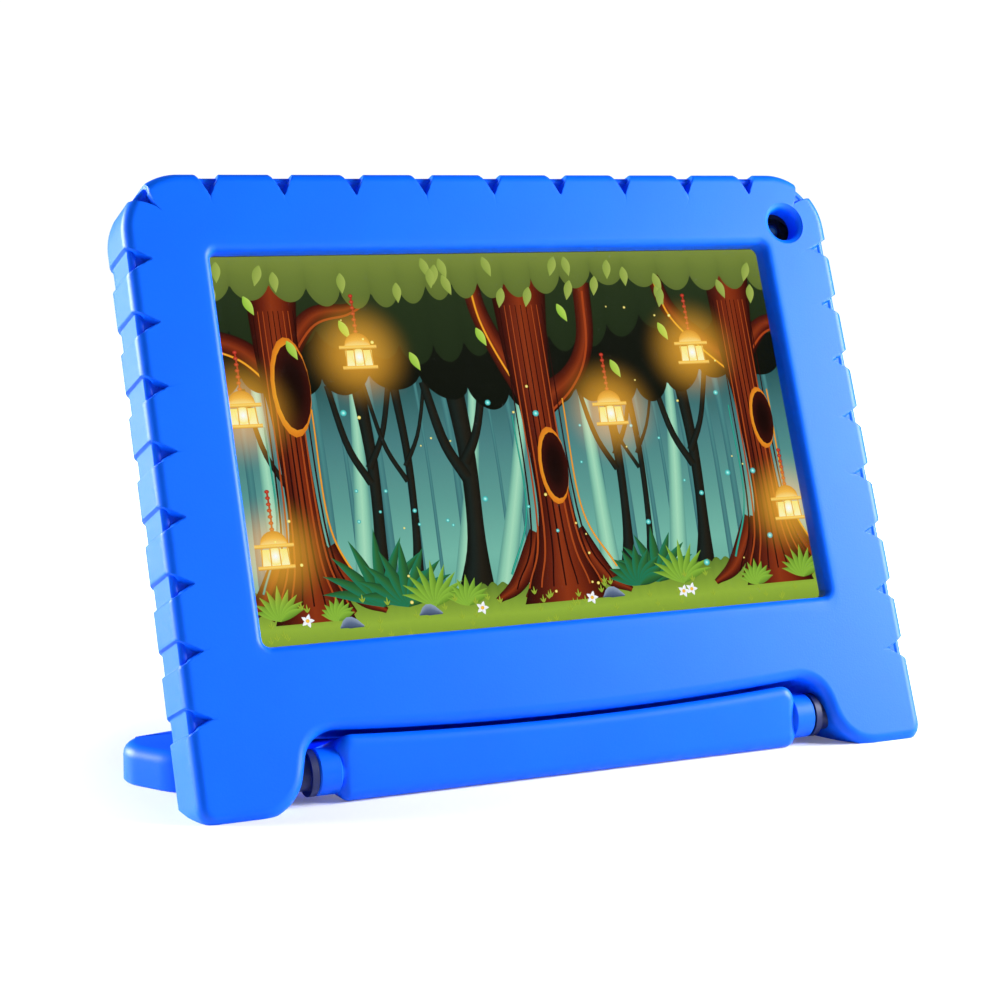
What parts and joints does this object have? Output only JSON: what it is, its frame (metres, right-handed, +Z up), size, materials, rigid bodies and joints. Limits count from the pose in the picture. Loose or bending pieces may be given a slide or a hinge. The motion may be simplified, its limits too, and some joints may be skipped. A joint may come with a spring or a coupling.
{
  "type": "children's tablet in a foam bumper",
  "caption": "Children's tablet in a notched foam bumper with two feet and a foam carrying handle that swings back to stand it up.",
  "frame": {"origin": "on the floor, at the middle of the space the whole object takes up", "axes": "+X across the screen to the right, +Y towards the back, +Z up; the screen faces -Y and leans back 21.3 degrees"},
  "size_m": [0.1994, 0.0712, 0.1411],
  "materials": {
    "eva_foam": "smooth satin skin of moulded closed-cell foam",
    "nylon": "moulded",
    "steel": "drawn",
    "cover_glass": "polished",
    "black_plastic": "fine moulded grain",
    "display": "lit display",
    "backlight": "white frame with a metal back",
    "circuit_board": "solder resist",
    "chip_resin": "moulded epoxy",
    "tinned_steel": "pressed and tinned",
    "battery_foil": "laminated foil pouch",
    "adhesive_foam": "thin foam tape",
    "wire_jacket": "extruded",
    "speaker_plastic": "moulded",
    "copper_film": "copper on film",
    "lens_glass": "polished",
    "switch_metal": "pressed"
  },
  "bodies": {
    "case": {"foam_case": "eva_foam", "hinge_bushes": "nylon", "touch_glass": "cover_glass", "bezel_frame": "black_plastic", "rear_cover": "black_plastic", "lcd_cell": "display", "backlight_unit": "backlight", "main_board": "circuit_board", "board_screws": "steel", "board_chips": "chip_resin", "shield_can": "tinned_steel", "battery": "battery_foil", "battery_pads": "adhesive_foam", "battery_leads": "wire_jacket", "speaker": "speaker_plastic", "speaker_leads": "wire_jacket", "microphone": "tinned_steel", "antenna": "copper_film", "front_camera": "chip_resin", "front_camera_lens": "lens_glass", "rear_camera": "chip_resin", "rear_camera_window": "lens_glass", "power_switch": "switch_metal", "volume_switches": "switch_metal", "headphone_jack": "black_plastic", "charging_port": "tinned_steel", "card_slot": "tinned_steel", "display_flex": "copper_film", "touch_flex": "copper_film"},
    "handle": {"handle_stand": "eva_foam", "hinge_rod": "steel"},
    "power_key": {"power_button": "black_plastic"},
    "volume_key": {"volume_rocker": "black_plastic"}
  },
  "joints": [
    {"name": "handle_hinge", "type": "hinge", "parent": "case", "child": "handle", "pos_m": [0, -0.02639, 0.0068], "axis": [1, 0, 0], "range_deg": [-111.3, 0]},
    {"name": "power_press", "type": "slide", "parent": "case", "child": "power_key", "axis": [-1, 0, 0], "range_m": [0, 0.00035], "stiffness_N_per_m": 3000},
    {"name": "volume_tilt", "type": "hinge", "parent": "case", "child": "volume_key", "pos_m": [0.0872, 0.00851, 0.08875], "axis": [0, 0.9317, -0.3633], "range_deg": [-1, 1], "stiffness_Nm_per_rad": 0.6}
  ]
}
